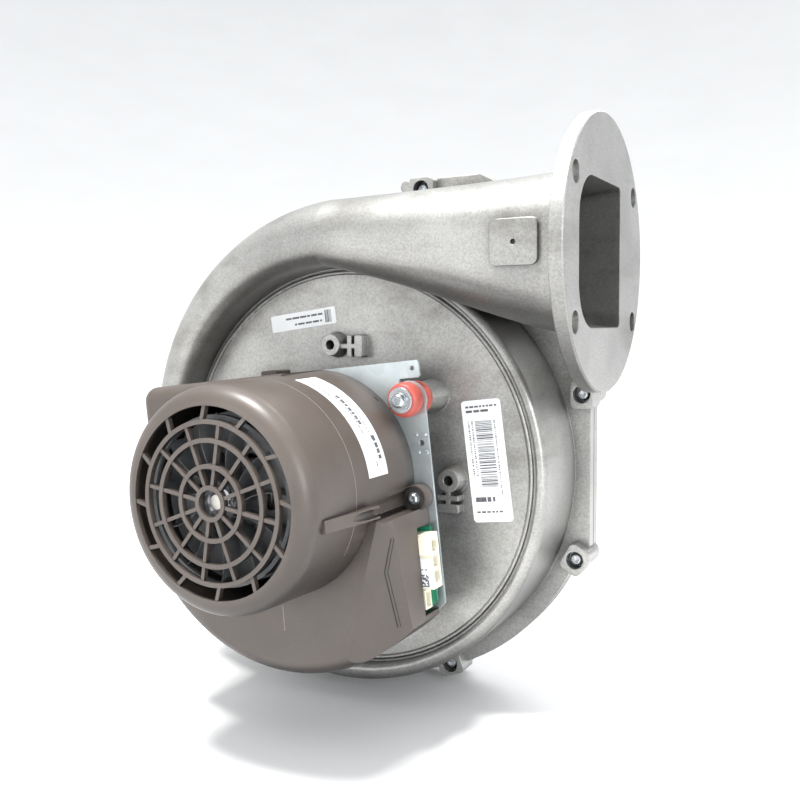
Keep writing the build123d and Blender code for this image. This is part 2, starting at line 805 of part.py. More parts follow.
fan_back = plate_front - 103.0
fan_front = plate_front - 117.0
fan_radius = 41.0
fan_blade_count = 11
fan_blade_root = 8.0
with BuildPart() as cooling_fan:
    with BuildSketch(front_plane(fan_back)):
        Circle(fan_radius)
        with PolarLocations(19.5, 6):
            Circle(5.0, mode=Mode.SUBTRACT)
    extrude(amount=1.5)
    with BuildSketch(front_plane(fan_back)):
        Circle(9.5)
    extrude(amount=fan_back - fan_front - 1.0)
    for i in range(fan_blade_count):
        root = i * 360.0 / fan_blade_count
        with BuildSketch(front_plane(fan_back)):
            with BuildLine():
                RadiusArc(polar(fan_blade_root, root), polar(fan_radius - 0.5, root + 40.0), 36.0)
                RadiusArc(polar(fan_blade_root, root), polar(fan_radius - 0.5, root + 40.0), 33.0)
            make_face()
        extrude(amount=fan_back - fan_front)
    with BuildSketch(front_plane(fan_front + 2.5)):
        Circle(fan_radius)
        Circle(fan_radius - 2.0, mode=Mode.SUBTRACT)
    extrude(amount=2.5)
    with Locations(front_plane(fan_front)):
        Hole(shaft_radius + fit_gap, depth=20.0)
save(cooling_fan, "cooling_fan")

with BuildPart() as fan_clip:
    with BuildSketch(front_plane(fan_front + 1.0)):
        Circle(7.0)
        Circle(shaft_radius + fit_gap, mode=Mode.SUBTRACT)
        with PolarLocations(7.0, 3):
            Circle(1.6, mode=Mode.SUBTRACT)
    extrude(amount=0.8)
save(fan_clip, "fan_clip")


# ---- ball bearings ---------------------------------------------------------
def bearing_ring(middle, inside, outside):
    """One grooved race, turned about the motor axis."""
    with BuildPart() as ring:
        with BuildSketch(Plane.XY):
            with Locations(((inside + outside) / 2, middle)):
                Rectangle(outside - inside, bearing_width)
            with Locations((ball_circle, middle)):
                Circle(groove_radius, mode=Mode.SUBTRACT)
        revolve(axis=Axis.Y)
    return ring


def bearing_balls(middle):
    with BuildPart() as balls:
        with Locations(front_plane(middle)):
            with PolarLocations(ball_circle, ball_count):
                Sphere(ball_radius)
    return balls


def bearing_cage(middle):
    """A crown cage: a thin ring behind the balls with a finger between each two."""
    ring_back = middle + 2.7
    ring_front = middle + 2.1
    with BuildPart() as cage:
        with BuildSketch(front_plane(ring_back)):
            Circle(ball_circle + 0.7)
            Circle(ball_circle - 0.7, mode=Mode.SUBTRACT)
        extrude(amount=ring_back - ring_front)
        with BuildSketch(front_plane(ring_front)):
            Circle(ball_circle + 0.7)
            Circle(ball_circle - 0.7, mode=Mode.SUBTRACT)
            with PolarLocations(ball_circle, ball_count):
                Circle(ball_radius + 0.1, mode=Mode.SUBTRACT)
        extrude(amount=3.6)
    return cage


for end, middle in (("front", front_bearing), ("rear", rear_bearing)):
    save(bearing_ring(middle, ball_circle + 1.3, bearing_outer), f"{end}_bearing_outer_race")
    save(bearing_ring(middle, shaft_radius + fit_gap, ball_circle - 1.3), f"{end}_bearing_inner_race")
    save(bearing_balls(middle), f"{end}_bearing_balls")
    save(bearing_cage(middle), f"{end}_bearing_cage")

# ---- electronics -----------------------------------------------------------
board_radius = 94.5
board_left = -79.0
board_right = 66.0
standoff_spots = ((-70.0, -6.0), (-44.0, -76.0), (47.0, -77.0), (57.0, -27.0))

with BuildPart() as circuit_board:
    with BuildSketch(motor_plane(board_back)):
        with BuildLine():
            low_right = (board_right, -sqrt(board_radius**2 - board_right**2))
            low_left = (board_left, -sqrt(board_radius**2 - board_left**2))
            Polyline(
                low_left,
                (board_left, 50.0),
                (-30.0, 50.0),
                (-30.0, 0.0),
                (50.0, 0.0),
                (50.0, -22.5),
                (60.5, -22.5),
                (60.5, -29.0),
                (board_right, -29.0),
                low_right,
            )
            RadiusArc(low_right, low_left, board_radius)
        make_face()
        Circle(bracket_radius + 1.0, mode=Mode.SUBTRACT)
        with Locations(*motor_spots[1:]):
            Circle(11.0, mode=Mode.SUBTRACT)
        with Locations(*standoff_spots):
            Circle(1.6, mode=Mode.SUBTRACT)
    extrude(amount=board_thickness)
save(circuit_board, "circuit_board")

with BuildPart() as board_standoffs:
    with BuildSketch(motor_plane(carrier_front)):
        with Locations(*standoff_spots):
            Circle(3.0)
    extrude(amount=carrier_front - board_back)
    with BuildSketch(motor_plane(board_back)):
        with Locations(*standoff_spots):
            Circle(1.5)
    extrude(amount=board_thickness + 1.5)
save(board_standoffs, "board_standoffs")

capacitor_spots = ((-66.0, -26.0), (-64.0, -50.0))
with BuildPart() as board_capacitors:
    with BuildSketch(motor_plane(board_front)):
        with Locations(*capacitor_spots):
            Circle(9.0)
    extrude(amount=24.0)
    fillet(board_capacitors.faces().group_by(Axis.Y)[0].edges(), 1.2)
save(board_capacitors, "board_capacitors")

with BuildPart() as board_choke:
    with BuildSketch(motor_plane(board_front)):
        with Locations((-24.0, -66.0)):
            Circle(11.0)
            Circle(4.5, mode=Mode.SUBTRACT)
    extrude(amount=12.0)
    fillet(board_choke.edges().filter_by(GeomType.CIRCLE), 2.0)
save(board_choke, "board_choke")

heat_sink_spot = (29.0, -64.0)
with BuildPart() as heat_sink:
    with BuildSketch(motor_plane(board_front)):
        with Locations(heat_sink_spot):
            Rectangle(34.0, 22.0)
    extrude(amount=3.0)
    with BuildSketch(motor_plane(board_front - 3.0)):
        with Locations(heat_sink_spot):
            with GridLocations(5.0, 0.0, 7, 1):
                Rectangle(1.6, 22.0)
    extrude(amount=15.0)
save(heat_sink, "heat_sink")

with BuildPart() as power_modules:
    with BuildSketch(motor_plane(board_front)):
        with Locations((41.0, -38.0)):
            Rectangle(9.0, 14.0)
        with Locations((-60.0, 8.0)):
            Rectangle(16.0, 12.0)
        with Locations((-42.0, 44.0)):
            Rectangle(20.0, 10.0)
    extrude(amount=7.0)
save(power_modules, "power_modules")

# mains connector: a three-way header whose sockets face +X of the motor
mains_low = -59.5
mains_high = -31.5
header_depth = 9.5
socket_plane_x = 70.0
pole_pitch = 8.0
mains_middle = (mains_low + mains_high) / 2


def side_plane(x):
    """A plane across the motor's own sideways direction: local x is Y, local y is the motor's up."""
    c = cos(radians(motor_turn))
    s = sin(radians(motor_turn))
    return Plane(origin=(x * c, 0, x * s), x_dir=(0, 1, 0), z_dir=(c, 0, s))


header_middle = board_front - header_depth / 2
with BuildPart() as mains_connector:
    with BuildSketch(side_plane(socket_plane_x)):
        with Locations((header_middle, mains_middle)):
            Rectangle(header_depth, mains_high - mains_low)
            with Locations((-header_depth / 2, 8.0)):
                Rectangle(2.0, 9.0)
    extrude(amount=-18.0)
    chamfer(mains_connector.faces().sort_by(Axis.Y)[0].edges().filter_by(Axis.X, tolerance=10), 0.4)
    with BuildSketch(side_plane(socket_plane_x)):
        with Locations((header_middle, mains_middle)):
            with GridLocations(0.0, pole_pitch, 1, 3):
                RectangleRounded(5.6, 6.0, 1.6)
    extrude(amount=-12.0, mode=Mode.SUBTRACT)
save(mains_connector, "mains_connector")

with BuildPart() as mains_pins:
    with BuildSketch(side_plane(socket_plane_x - 12.0)):
        with Locations((header_middle, mains_middle)):
            with GridLocations(0.0, pole_pitch, 1, 3):
                Rectangle(1.0, 2.4)
    extrude(amount=8.0)
save(mains_pins, "mains_pins")

signal_middle = -66.0
with BuildPart() as signal_connector:
    with BuildSketch(side_plane(63.0)):
        with Locations((board_front - 3.5, signal_middle)):
            Rectangle(7.0, 10.0)
            Rectangle(4.4, 7.4, mode=Mode.SUBTRACT)
    extrude(amount=-10.0)
    with BuildSketch(side_plane(55.0)):
        with Locations((board_front - 3.5, signal_middle)):
            Rectangle(7.0, 10.0)
    extrude(amount=-2.0)
    with BuildSketch(side_plane(55.0)):
        with Locations((board_front - 3.5, signal_middle)):
            with GridLocations(0.0, 2.5, 1, 3):
                Rectangle(0.7, 0.7)
    extrude(amount=6.0)
save(signal_connector, "signal_connector")

# ---- motor cover -----------------------------------------------------------
def barrel_profile(inset):
    """Half section of the cover's drafted barrel with its round shoulder."""
    shoulder = cover_shoulder - inset
    front = cover_front + inset
    face_radius = cover_radius - cover_shoulder
    with BuildSketch(Plane.XY) as profile:
        with BuildLine():
            Line((0, carrier_front), (cover_base_radius - inset, carrier_front))
            Line((cover_base_radius - inset, carrier_front), (cover_radius - inset, front + shoulder))
            RadiusArc((cover_radius - inset, front + shoulder), (face_radius, front), shoulder)
            Line((face_radius, front), (0, front))
            Line((0, front), (0, carrier_front))
        make_face()
    return profile.sketch


def lobe_block(inset, edge_radius):
    """The flat body over the electronics: a disc segment with a straight left side and top."""
    radius = lobe_radius - inset
    left = lobe_left + inset
    right = lobe_right - inset
    top = carrier_top - inset
    step = lobe_step - inset
    low_left = (left, -sqrt(radius**2 - left**2))
    low_right = (right, -sqrt(radius**2 - right**2))
    with BuildPart() as block:
        with BuildSketch(motor_plane(carrier_front)) as outline:
            with BuildLine():
                Polyline(low_left, (left, top), (8.0, top), (8.0, step), (right, step), low_right)
                RadiusArc(low_right, low_left, radius)
            make_face()
            fillet(outline.vertices().sort_by(Axis.X)[:2], edge_radius + 1.0)
        extrude(amount=carrier_front - lobe_front - inset)
        outer_edges = [
            edge
            for edge in block.faces().sort_by(Axis.Y)[0].edges()
            if Vector(edge.center().X, 0, edge.center().Z).length > cover_base_radius
        ]
        fillet(outer_edges, edge_radius)
        # the slanted facet beside the connectors
        c = cos(radians(motor_turn))
        s = sin(radians(motor_turn))
        across, forward, upward = facet_normal
        outward = Vector(across * c - upward * s, forward, across * s + upward * c)
        edge_x = facet_point[0] * c - facet_point[1] * s
        edge_z = facet_point[0] * s + facet_point[1] * c
        edge_point = Vector(edge_x, lobe_front, edge_z)
        with BuildSketch(Plane(origin=edge_point - outward * inset, z_dir=outward)):
            Circle(2 * lobe_radius)
        extrude(amount=40.0, mode=Mode.SUBTRACT)
    return block.part


def barrel_radius(y):
    """Outside radius of the drafted barrel at a place along the motor."""
    share = (carrier_front - y) / (carrier_front - cover_front - cover_shoulder)
    return cover_base_radius + (cover_radius - cover_base_radius) * share


bar_width = 2.2
grille_depth = 3.0
notch_low = -73.0
notch_high = -28.0
notch_front = board_front - header_depth - 1.0
hook_width = 10.0

with BuildPart() as motor_cover:
    revolve(barrel_profile(0.0), axis=Axis.Y)
    add(lobe_block(0.0, 7.0))
    # rib along the barrel that runs back to the screw lug
    with BuildSketch(turned_plane().offset(cover_lug[1] + 3.0)):
        with BuildLine():
            Polyline(
                (50.0, carrier_front - 3.0),
                (50.0, cover_front + cover_shoulder + 2.0),
                (cover_radius, cover_front + cover_shoulder + 2.0),
                (61.5, lobe_front - 6.0),
                (65.5, carrier_front - 9.0),
                (65.5, carrier_front - 3.0),
                close=True,
            )
        make_face()
    extrude(amount=-6.0)
    add(lobe_block(cover_wall, 4.5), mode=Mode.SUBTRACT)
    revolve(barrel_profile(cover_wall), axis=Axis.Y, mode=Mode.SUBTRACT)
    # screw lug
    with BuildSketch(motor_plane(carrier_front)):
        with Locations(cover_lug):
            Circle(7.0)
    extrude(amount=9.0)
    with BuildSketch(motor_plane(carrier_front - 6.5)):
        with Locations(cover_lug):
            Circle(6.2)
    extrude(amount=40.0, mode=Mode.SUBTRACT)
    with Locations(motor_plane(carrier_front - 9.0)):
        with Locations(cover_lug):
            Hole(2.2)
    # air inlet and grille
    with BuildSketch(front_plane(cover_front)):
        Circle(cover_opening)
    extrude(amount=-8.0, mode=Mode.SUBTRACT)
    with BuildSketch(motor_plane(cover_front + grille_depth)):
        for radius in reversed(ring_radii):
            Circle(radius + bar_width / 2)
            Circle(radius - bar_width / 2, mode=Mode.SUBTRACT)
    extrude(amount=grille_depth)
    with BuildSketch(motor_plane(cover_front + grille_depth)):
        with PolarLocations((ring_radii[0] + ring_radii[3]) / 2, spoke_count, start_angle=15.0):
            Rectangle(ring_radii[3] - ring_radii[0], 1.8)
    extrude(amount=grille_depth - 0.4)
    with BuildSketch(motor_plane(cover_front + grille_depth)):
        for i in range(spoke_count):
            spoke_angle = i * 360.0 / spoke_count
            with Locations(Location((*polar(42.9, spoke_angle - 2.0), 0), (0, 0, spoke_angle - 21.0))):
                Rectangle(9.4, 1.9)
    extrude(amount=grille_depth - 0.4)
    # notch in the side wall for the two connectors
    with BuildSketch(motor_plane(carrier_front + 0.5)):
        with Locations((lobe_right, (notch_low + notch_high) / 2)):
            Rectangle(14.0, notch_high - notch_low)
    extrude(amount=carrier_front + 0.5 - notch_front, mode=Mode.SUBTRACT)
    # snap hook over the carrier's top edge
    with BuildSketch(motor_plane(carrier_front + carrier_thickness + 2.0)):
        with Locations((-21.0, carrier_top + 1.4)):
            RectangleRounded(hook_width, 2.6, 1.2)
    extrude(amount=14.0)
    with BuildSketch(motor_plane(carrier_front - 1.0)):
        with Locations((-21.0, carrier_top)):
            Rectangle(hook_width, 4.0)
    extrude(amount=9.5)
save(motor_cover, "motor_cover")

with BuildPart() as cover_bush:
    with BuildSketch(motor_plane(carrier_front - 6.5 + 1.5)):
        with Locations(cover_lug):
            Circle(2.15)
            Circle(1.75, mode=Mode.SUBTRACT)
    extrude(amount=1.5)
    with BuildSketch(motor_plane(carrier_front - 6.5)):
        with Locations(cover_lug):
            Circle(5.9)
            Circle(1.75, mode=Mode.SUBTRACT)
    extrude(amount=1.6)
save(cover_bush, "cover_bush")

cover_screw = screw_group(motor_plane(carrier_front - 8.1), (cover_lug,), 1.7, 7.9, 3.3, 2.6, 1.7)
save(cover_screw, "cover_screw")

# ---- labels ----------------------------------------------------------------
label_thickness = 0.2
with BuildPart() as rating_label:
    with BuildSketch(front_plane(plate_front)):
        with Locations(Location((86.6, 8.6, 0), (0, 0, 6.9))):
            RectangleRounded(22.8, 66.0, 2.0)
    extrude(amount=label_thickness)
save(rating_label, "rating_label")

with BuildPart() as maker_label:
    with BuildSketch(front_plane(plate_front)):
        with Locations(Location((-29.8, 85.2, 0), (0, 0, 7.2))):
            RectangleRounded(45.5, 9.8, 1.0)
    extrude(amount=label_thickness)
save(maker_label, "maker_label")

label_back = plate_front - 55.0
label_front = plate_front - 72.5
with BuildPart() as cover_label:
    with BuildSketch(radial_plane(76.0)):
        with BuildLine():
            Polyline(
                (barrel_radius(label_back) + 0.02, label_back),
                (barrel_radius(label_front) + 0.02, label_front),
                (barrel_radius(label_front) + label_thickness, label_front),
                (barrel_radius(label_back) + label_thickness, label_back),
                close=True,
            )
        make_face()
    revolve(axis=Axis.Y, revolution_arc=68.0)
save(cover_label, "cover_label")

with BuildPart() as connector_label:
    with BuildSketch(motor_plane(board_front - header_depth)):
        with Locations((64.4, -51.2)):
            Rectangle(8.0, 15.0)
    extrude(amount=label_thickness)
save(connector_label, "connector_label")
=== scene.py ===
"""Looks of the combustion fan: procedural materials, turned and printed details, studio and camera."""
import json
import math
import random

import bmesh
import bpy
from mathutils import Matrix, Quaternion, Vector
from mathutils.bvhtree import BVHTree


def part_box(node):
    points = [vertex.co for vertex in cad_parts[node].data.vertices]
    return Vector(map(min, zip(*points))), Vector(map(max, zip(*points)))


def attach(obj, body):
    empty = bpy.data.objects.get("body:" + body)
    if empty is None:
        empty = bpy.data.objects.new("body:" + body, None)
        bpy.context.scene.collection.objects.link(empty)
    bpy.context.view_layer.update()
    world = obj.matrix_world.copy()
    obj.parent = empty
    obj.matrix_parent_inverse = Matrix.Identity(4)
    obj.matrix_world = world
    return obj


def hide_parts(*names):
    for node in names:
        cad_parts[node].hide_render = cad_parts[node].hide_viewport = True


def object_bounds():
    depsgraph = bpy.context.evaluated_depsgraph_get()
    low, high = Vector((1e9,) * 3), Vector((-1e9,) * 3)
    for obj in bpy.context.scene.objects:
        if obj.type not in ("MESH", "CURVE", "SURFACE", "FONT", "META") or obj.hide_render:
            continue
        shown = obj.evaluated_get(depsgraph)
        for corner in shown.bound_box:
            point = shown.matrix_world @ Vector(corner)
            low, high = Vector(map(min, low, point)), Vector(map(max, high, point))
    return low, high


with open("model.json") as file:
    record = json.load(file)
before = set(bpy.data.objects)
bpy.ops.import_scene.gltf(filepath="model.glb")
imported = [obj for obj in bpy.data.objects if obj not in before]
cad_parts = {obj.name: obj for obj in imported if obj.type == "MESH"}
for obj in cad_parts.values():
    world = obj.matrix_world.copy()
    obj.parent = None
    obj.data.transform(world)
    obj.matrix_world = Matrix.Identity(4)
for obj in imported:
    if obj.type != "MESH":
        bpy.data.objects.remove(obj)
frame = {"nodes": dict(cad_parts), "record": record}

cad_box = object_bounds()
cad_low, cad_high = cad_box
nodes = frame["nodes"]
MM = 0.001
MOTOR_TURN = math.radians(6.0)     # the motor sits a little turned on its carrier


# ---- materials -------------------------------------------------------------
class Look:
    """A Principled material with short calls for the textures that feed it."""

    def __init__(self, name, roughness=0.5, metallic=0.0):
        self.material = bpy.data.materials.new(name)
        self.material.use_nodes = True
        self.tree = self.material.node_tree
        self.shader = self.tree.nodes["Principled BSDF"]
        self.shader.inputs["Roughness"].default_value = roughness
        self.shader.inputs["Metallic"].default_value = metallic
        self.place = self.tree.nodes.new("ShaderNodeTexCoord").outputs["Object"]

    def link(self, source, target):
        self.tree.links.new(source, target)

    def stretched(self, stretch, turn=0.0):
        """Object coordinates, scaled along X, Y and Z and turned about Y."""
        mapping = self.tree.nodes.new("ShaderNodeMapping")
        mapping.inputs["Scale"].default_value = stretch
        mapping.inputs["Rotation"].default_value = (0.0, turn, 0.0)
        self.link(self.place, mapping.inputs["Vector"])
        return mapping.outputs["Vector"]

    def noise(self, scale, detail=4.0, roughness=0.55, stretch=None):
        noise = self.tree.nodes.new("ShaderNodeTexNoise")
        noise.inputs["Scale"].default_value = scale
        noise.inputs["Detail"].default_value = detail
        noise.inputs["Roughness"].default_value = roughness
        self.link(self.stretched(stretch) if stretch else self.place, noise.inputs["Vector"])
        return noise.outputs["Fac"]

    def cells(self, scale):
        """Voronoi cells, for crystals and flakes."""
        cells = self.tree.nodes.new("ShaderNodeTexVoronoi")
        cells.inputs["Scale"].default_value = scale
        self.link(self.place, cells.inputs["Vector"])
        return cells.outputs["Color"]

    def waves(self, scale, direction, distortion=0.0, kind="BANDS"):
        waves = self.tree.nodes.new("ShaderNodeTexWave")
        waves.wave_type = kind
        if kind == "BANDS":
            waves.bands_direction = direction
        else:
            waves.rings_direction = direction
        waves.inputs["Scale"].default_value = scale
        waves.inputs["Distortion"].default_value = distortion
        self.link(self.place, waves.inputs["Vector"])
        return waves.outputs["Fac"]

    def ramp(self, source, low, high, colour_low, colour_high):
        """A colour that goes from one to the other as source goes from low to high."""
        ramp = self.tree.nodes.new("ShaderNodeValToRGB")
        first, second = ramp.color_ramp.elements
        first.position = low
        second.position = high
        first.color = (*colour_low, 1.0)
        second.color = (*colour_high, 1.0)
        self.link(source, ramp.inputs["Fac"])
        return ramp.outputs["Color"]

    def mix(self, factor, first, second, kind="MIX"):
        mix = self.tree.nodes.new("ShaderNodeMix")
        mix.data_type = "RGBA"
        mix.blend_type = kind
        for value, socket in ((factor, mix.inputs[0]), (first, mix.inputs[6]), (second, mix.inputs[7])):
            if isinstance(value, bpy.types.NodeSocket):
                self.link(value, socket)
            elif isinstance(value, tuple):
                socket.default_value = (*value, 1.0)
            else:
                socket.default_value = value
        return mix.outputs[2]

    def colour(self, source):
        self.link(source, self.shader.inputs["Base Color"])
        return self

    def rough(self, source, low, high):
        spread = self.tree.nodes.new("ShaderNodeMapRange")
        spread.inputs["To Min"].default_value = low
        spread.inputs["To Max"].default_value = high
        self.link(source, spread.inputs["Value"])
        self.link(spread.outputs["Result"], self.shader.inputs["Roughness"])
        return self

    def painted_crevice_shade(self, colour, reach_mm, darkest):
        """The same colour with painted shade: darker where the surface lies in a corner or a groove."""
        nearby = self.tree.nodes.new("ShaderNodeAmbientOcclusion")
        nearby.samples = 6
        nearby.inputs["Distance"].default_value = reach_mm * MM
        shade = self.ramp(nearby.outputs["AO"], 0.25, 0.85, (darkest, darkest, darkest), (1.0, 1.0, 1.0))
        return self.mix(1.0, colour, shade, "MULTIPLY")

    def painted_downward_shade(self, colour, darkest):
        """The same colour with painted shade: darker where the surface faces down."""
        facing = self.tree.nodes.new("ShaderNodeSeparateXYZ")
        self.link(self.tree.nodes.new("ShaderNodeNewGeometry").outputs["Normal"], facing.inputs["Vector"])
        spread = self.tree.nodes.new("ShaderNodeMapRange")
        spread.inputs["From Min"].default_value = -0.7
        spread.inputs["From Max"].default_value = 0.15
        spread.inputs["To Min"].default_value = darkest
        self.link(facing.outputs["Z"], spread.inputs["Value"])
        return self.mix(1.0, colour, spread.outputs["Result"], "MULTIPLY")

    def round_edges(self, radius_mm):
        """Sharp edges catch the light as if they were slightly rounded."""
        rounding = self.tree.nodes.new("ShaderNodeBevel")
        rounding.samples = 6
        rounding.inputs["Radius"].default_value = radius_mm * MM
        self.link(rounding.outputs["Normal"], self.shader.inputs["Normal"])
        return self

    def bump(self, source, strength, depth_mm):
        bump = self.tree.nodes.new("ShaderNodeBump")
        bump.inputs["Strength"].default_value = strength
        bump.inputs["Distance"].default_value = depth_mm * MM
        self.link(source, bump.inputs["Height"])
        before = self.shader.inputs["Normal"].links
        if before:
            self.link(before[0].from_socket, bump.inputs["Normal"])
        self.link(bump.outputs["Normal"], self.shader.inputs["Normal"])
        return self


def mottled(name, dark, light, patch, roughness, metallic=0.0, grain=900.0, grain_depth=0.15, strength=0.3):
    """The base of most materials: patchy colour and gloss over a fine grain."""
    look = Look(name, metallic=metallic)
    patches = look.noise(patch, detail=6.0)
    look.colour(look.ramp(patches, 0.3, 0.7, dark, light))
    look.rough(look.noise(patch * 2.3, detail=3.0), *roughness)
    look.bump(look.noise(grain, detail=2.0), strength, grain_depth)
    return look


def cast_aluminium():
    """As-cast aluminium: cloudy grey with darker release-agent stains and a soft skin, with painted shade
    in its corners and on its down-facing sides.
    """
    look = Look("cast_aluminium", metallic=0.7)
    clouds = look.ramp(look.noise(18.0, detail=7.0), 0.32, 0.68, (0.34, 0.338, 0.328), (0.50, 0.496, 0.480))
    flecks = look.ramp(look.noise(900.0, detail=3.0), 0.35, 0.65, (0.82, 0.82, 0.82), (1.08, 1.08, 1.08))
    smears = look.noise(16.0, detail=8.0, stretch=(1.0, 0.5, 2.2))
    stains = look.ramp(smears, 0.52, 0.68, (1.0, 1.0, 1.0), (0.70, 0.69, 0.66))
    cast = look.mix(1.0, look.mix(1.0, clouds, flecks, "MULTIPLY"), stains, "MULTIPLY")
    # painted shade: darker in corners and grooves and on surfaces that face down
    look.colour(look.painted_downward_shade(look.painted_crevice_shade(cast, 9.0, 0.38), 0.34))
    look.rough(look.noise(30.0, detail=4.0), 0.31, 0.43)
    look.round_edges(0.9)
    look.bump(look.noise(90.0, detail=4.0), 0.06, 0.25)
    look.bump(look.noise(1500.0, detail=2.0), 0.22, 0.06)
    return look


def zinc_sheet():
    """Zinc-plated sheet with faint crystals and a cold tint."""
    look = Look("zinc_sheet", metallic=0.82)
    crystals = look.ramp(look.cells(150.0), 0.0, 1.0, (0.50, 0.56, 0.58), (0.62, 0.68, 0.70))
    haze = look.ramp(look.noise(40.0, detail=5.0), 0.35, 0.7, (0.90, 0.90, 0.90), (1.08, 1.08, 1.08))
    look.colour(look.mix(1.0, crystals, haze, "MULTIPLY"))
    look.rough(look.noise(90.0), 0.26, 0.42)
    look.bump(look.noise(700.0, stretch=(1.0, 1.0, 6.0)), 0.12, 0.05)
    return look


def cover_plastic():
    """Brown glass-filled plastic with an eroded grain, scuffed a little lighter in patches, with painted
    shade in its corners and on its down-facing sides.
    """
    look = Look("cover_brown")
    clouds = look.noise(14.0, detail=6.0)
    patches = look.ramp(clouds, 0.35, 0.75, (0.074, 0.059, 0.051), (0.118, 0.099, 0.088))
    dust = look.ramp(look.noise(1600.0, detail=2.0), 0.60, 0.75, (0.0, 0.0, 0.0), (0.026, 0.024, 0.022))
    # painted shade: darker in corners and grooves and on surfaces that face down
    look.colour(look.painted_downward_shade(look.painted_crevice_shade(look.mix(1.0, patches, dust, "ADD"), 14.0, 0.30), 0.22))
    look.rough(look.noise(50.0), 0.30, 0.44)
    look.bump(look.noise(2600.0, detail=2.0), 0.35, 0.06)
    look.bump(look.noise(120.0, detail=3.0), 0.06, 0.3)
    return look


def red_silicone():
    """Translucent red rubber with a satin skin."""
    deep, pale = (0.36, 0.062, 0.048), (0.50, 0.115, 0.09)
    look = mottled("red_silicone", deep, pale, 70.0, (0.38, 0.5), grain=1200.0)
    look.shader.inputs["Subsurface Weight"].default_value = 0.15
    look.shader.inputs["Subsurface Radius"].default_value = (0.002, 0.0006, 0.0004)
    return look


def laminations():
    """A stack of thin electrical sheets: fine lines across the motor axis."""
    dark, light = (0.16, 0.16, 0.17), (0.30, 0.30, 0.31)
    look = mottled("lamination_steel", dark, light, 80.0, (0.35, 0.5), metallic=0.9)
    look.bump(look.waves(320.0, "Y"), 0.5, 0.15)
    return look


def copper_wire():
    """Enamelled wire laid side by side."""
    look = Look("copper_wire", roughness=0.28, metallic=0.9)
    wires = look.waves(420.0, "Y", distortion=0.6)
    look.colour(look.ramp(wires, 0.1, 0.7, (0.20, 0.06, 0.025), (0.78, 0.33, 0.14)))
    look.bump(wires, 0.8, 0.25)
    return look


def turned(name, dark, light, roughness):
    """Metal turned about the motor axis: fine rings."""
    look = mottled(name, dark, light, 90.0, roughness, metallic=0.95, grain=1500.0)
    look.bump(look.waves(500.0, "Y", distortion=0.4, kind="RINGS"), 0.15, 0.05)
    return look


def ground_steel():
    """The shaft: steel ground round, with a slight yellow cast."""
    dark, light = (0.44, 0.42, 0.38), (0.58, 0.56, 0.52)
    look = mottled("ground_steel", dark, light, 120.0, (0.3, 0.42), metallic=0.85)
    look.bump(look.noise(1400.0, stretch=(1.0, 8.0, 1.0)), 0.1, 0.04)
    return look


def circuit_board():
    """Green solder mask over copper tracks that show as a lighter relief."""
    look = Look("board_green", roughness=0.3)
    tracks = look.tree.nodes.new("ShaderNodeTexBrick")
    tracks.inputs["Scale"].default_value = 160.0
    tracks.inputs["Mortar Size"].default_value = 0.012
    tracks.inputs["Color1"].default_value = (0.008, 0.16, 0.085, 1.0)
    tracks.inputs["Color2"].default_value = (0.012, 0.20, 0.11, 1.0)
    tracks.inputs["Mortar"].default_value = (0.05, 0.36, 0.20, 1.0)
    look.link(look.stretched((1.0, 1.0, 1.0), MOTOR_TURN), tracks.inputs["Vector"])
    haze = look.ramp(look.noise(60.0), 0.3, 0.7, (0.85, 0.85, 0.85), (1.1, 1.1, 1.1))
    look.colour(look.mix(1.0, tracks.outputs["Color"], haze, "MULTIPLY"))
    look.bump(tracks.outputs["Fac"], 0.4, 0.04)
    return look


MAKERS = {
    "cast_aluminium": cast_aluminium,
    "zinc_sheet": zinc_sheet,
    "cover_brown": cover_plastic,
    "red_silicone": red_silicone,
    "lamination_steel": laminations,
    "copper_wire": copper_wire,
    "ground_steel": ground_steel,
    "board_green": circuit_board,
}
# dark and light colour, and the range of roughness
TURNED = {
    "machined_aluminium": ((0.55, 0.55, 0.56), (0.72, 0.72, 0.73), (0.25, 0.4)),
    "bearing_steel": ((0.58, 0.58, 0.59), (0.74, 0.74, 0.74), (0.08, 0.16)),
}
